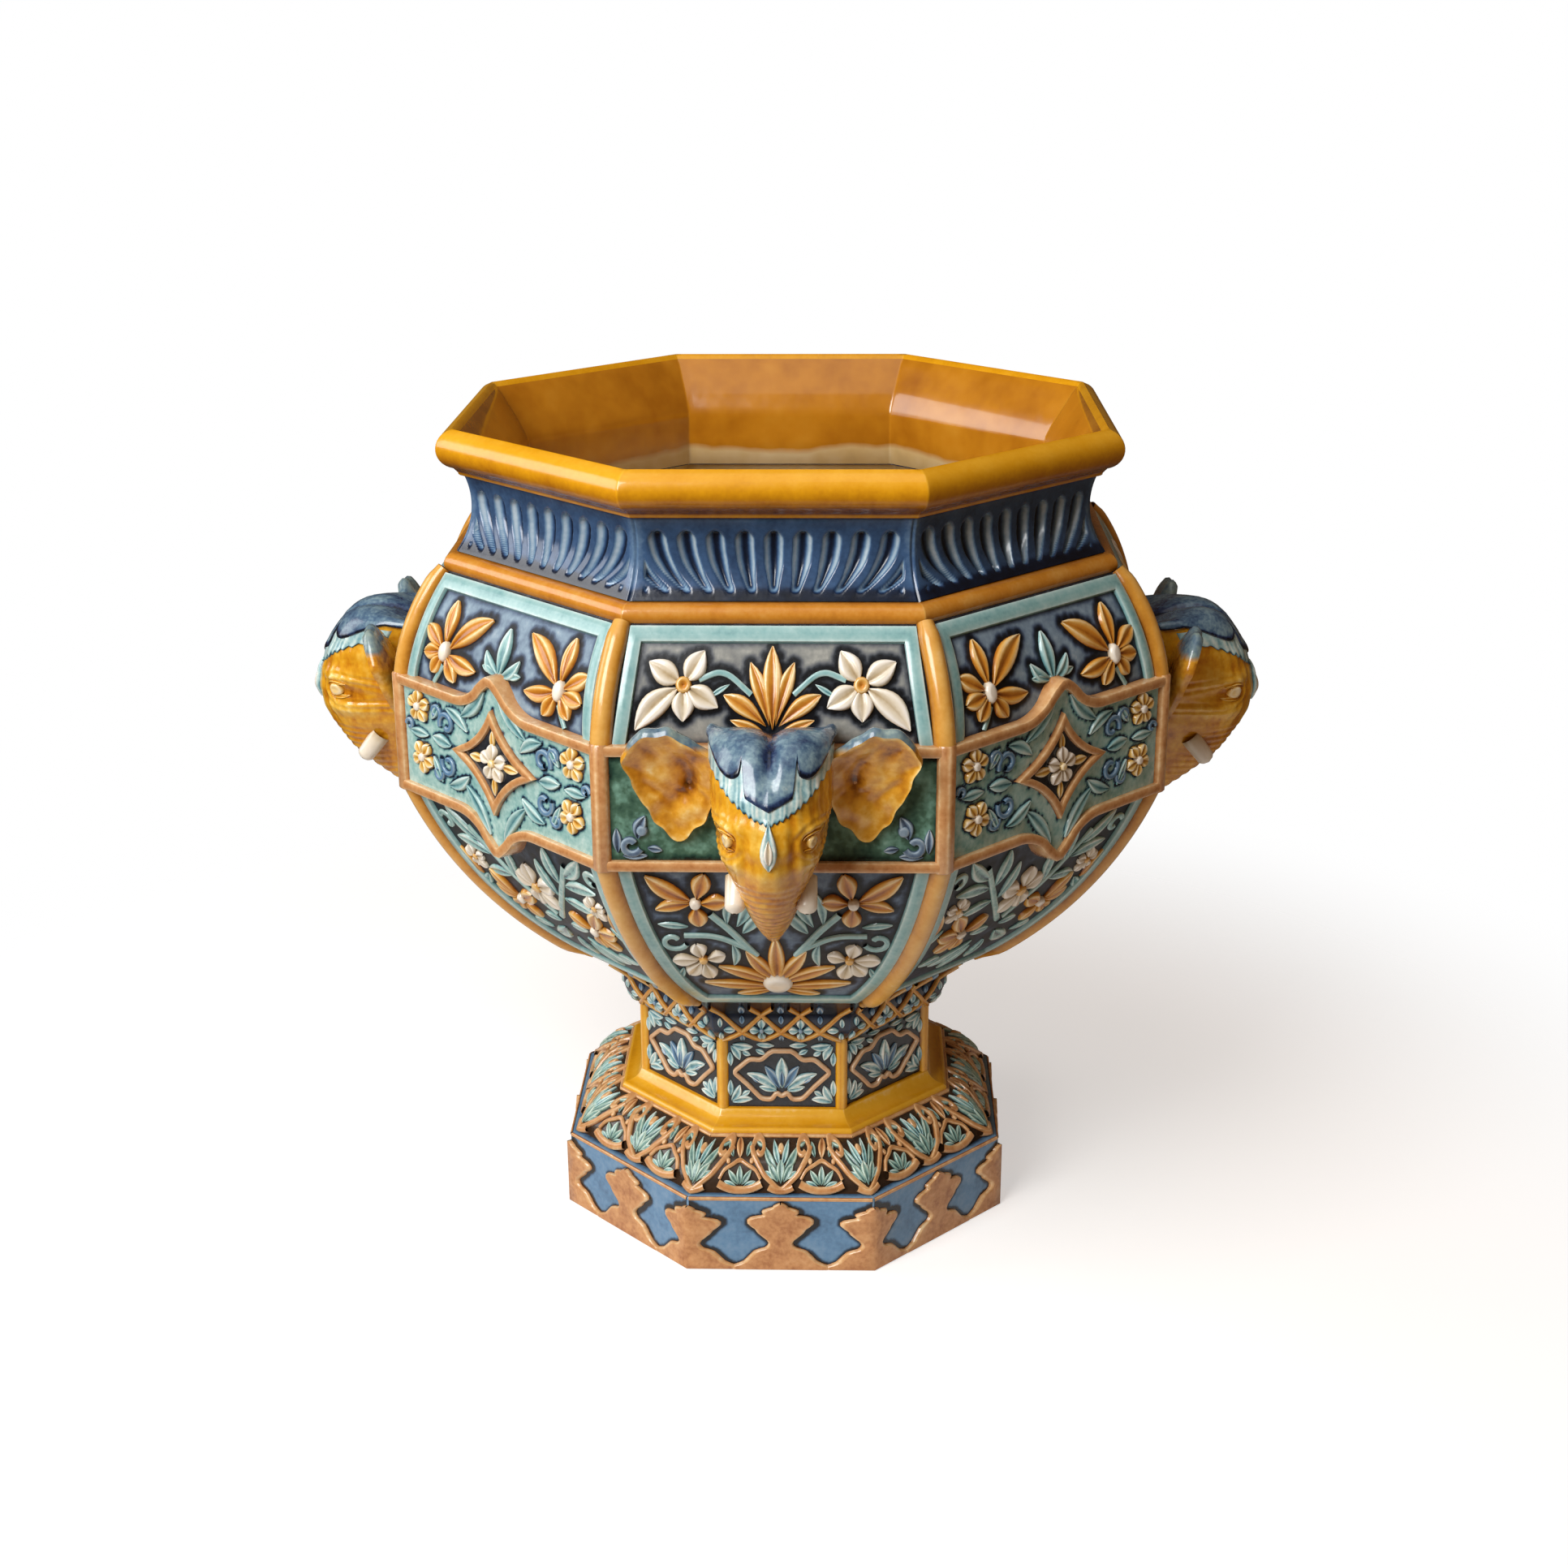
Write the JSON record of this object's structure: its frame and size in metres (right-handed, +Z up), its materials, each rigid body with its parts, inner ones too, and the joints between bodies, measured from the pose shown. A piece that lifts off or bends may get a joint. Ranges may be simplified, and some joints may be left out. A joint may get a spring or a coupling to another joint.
{
  "type": "jardiniere",
  "caption": "Octagonal glazed jardiniere on a hollow stepped foot, with relief flower panels, elephant heads on alternate faces, a fluted neck and a rolled rim; holds a potted plant.",
  "frame": {"origin": "on the floor, under the middle of the foot", "axes": "+Z up along the pot's axis; -Y is the front, where one of the elephant heads looks out; +X is the viewer's right"},
  "size_m": [0.569, 0.569, 0.4995],
  "materials": {
    "ochre_glaze": "gloss",
    "cobalt_glaze": "gloss",
    "turquoise_glaze": "gloss",
    "slate_glaze": "gloss",
    "terracotta_glaze": "gloss",
    "green_glaze": "gloss",
    "ivory_glaze": "gloss"
  },
  "bodies": {
    "root": {"plinth": "cobalt_glaze", "foot_skirt": "turquoise_glaze", "stem_cavetto": "ochre_glaze", "stem": "slate_glaze", "lattice_collar": "cobalt_glaze", "plinth_cresting": "terracotta_glaze", "skirt_scallops": "ochre_glaze", "stem_corner_strips": "ochre_glaze", "stem_cartouches": "ochre_glaze", "collar_lattice": "ochre_glaze", "lower_bowl": "slate_glaze", "upper_bowl": "slate_glaze", "bowl_floor": "ivory_glaze", "shoulder_ring": "ochre_glaze", "neck": "cobalt_glaze", "rim": "ochre_glaze", "neck_flutes": "cobalt_glaze", "belt_posts": "terracotta_glaze", "elephant_panels": "green_glaze", "elephant_panel_bands": "terracotta_glaze", "star_panels": "green_glaze", "star_panel_bands": "terracotta_glaze", "star_cartouches": "terracotta_glaze", "upper_ribs": "ochre_glaze", "lower_ribs": "ochre_glaze", "upper_panel_frames": "turquoise_glaze", "lower_panel_frames": "turquoise_glaze", "elephant_head_right": "ochre_glaze", "headcloth_right": "cobalt_glaze", "ears_right": "ochre_glaze", "tusks_right": "ivory_glaze", "elephant_head_back": "ochre_glaze", "headcloth_back": "cobalt_glaze", "ears_back": "ochre_glaze", "tusks_back": "ivory_glaze", "elephant_head_left": "ochre_glaze", "headcloth_left": "cobalt_glaze", "ears_left": "ochre_glaze", "tusks_left": "ivory_glaze", "elephant_head_front": "ochre_glaze", "headcloth_front": "cobalt_glaze", "ears_front": "ochre_glaze", "tusks_front": "ivory_glaze", "upper_gold_flowers": "ochre_glaze", "upper_white_flowers": "ivory_glaze", "upper_lilies": "turquoise_glaze", "lower_gold_flowers": "ochre_glaze", "lower_white_flowers": "ivory_glaze", "lower_ferns": "turquoise_glaze"}
  },
  "joints": []
}
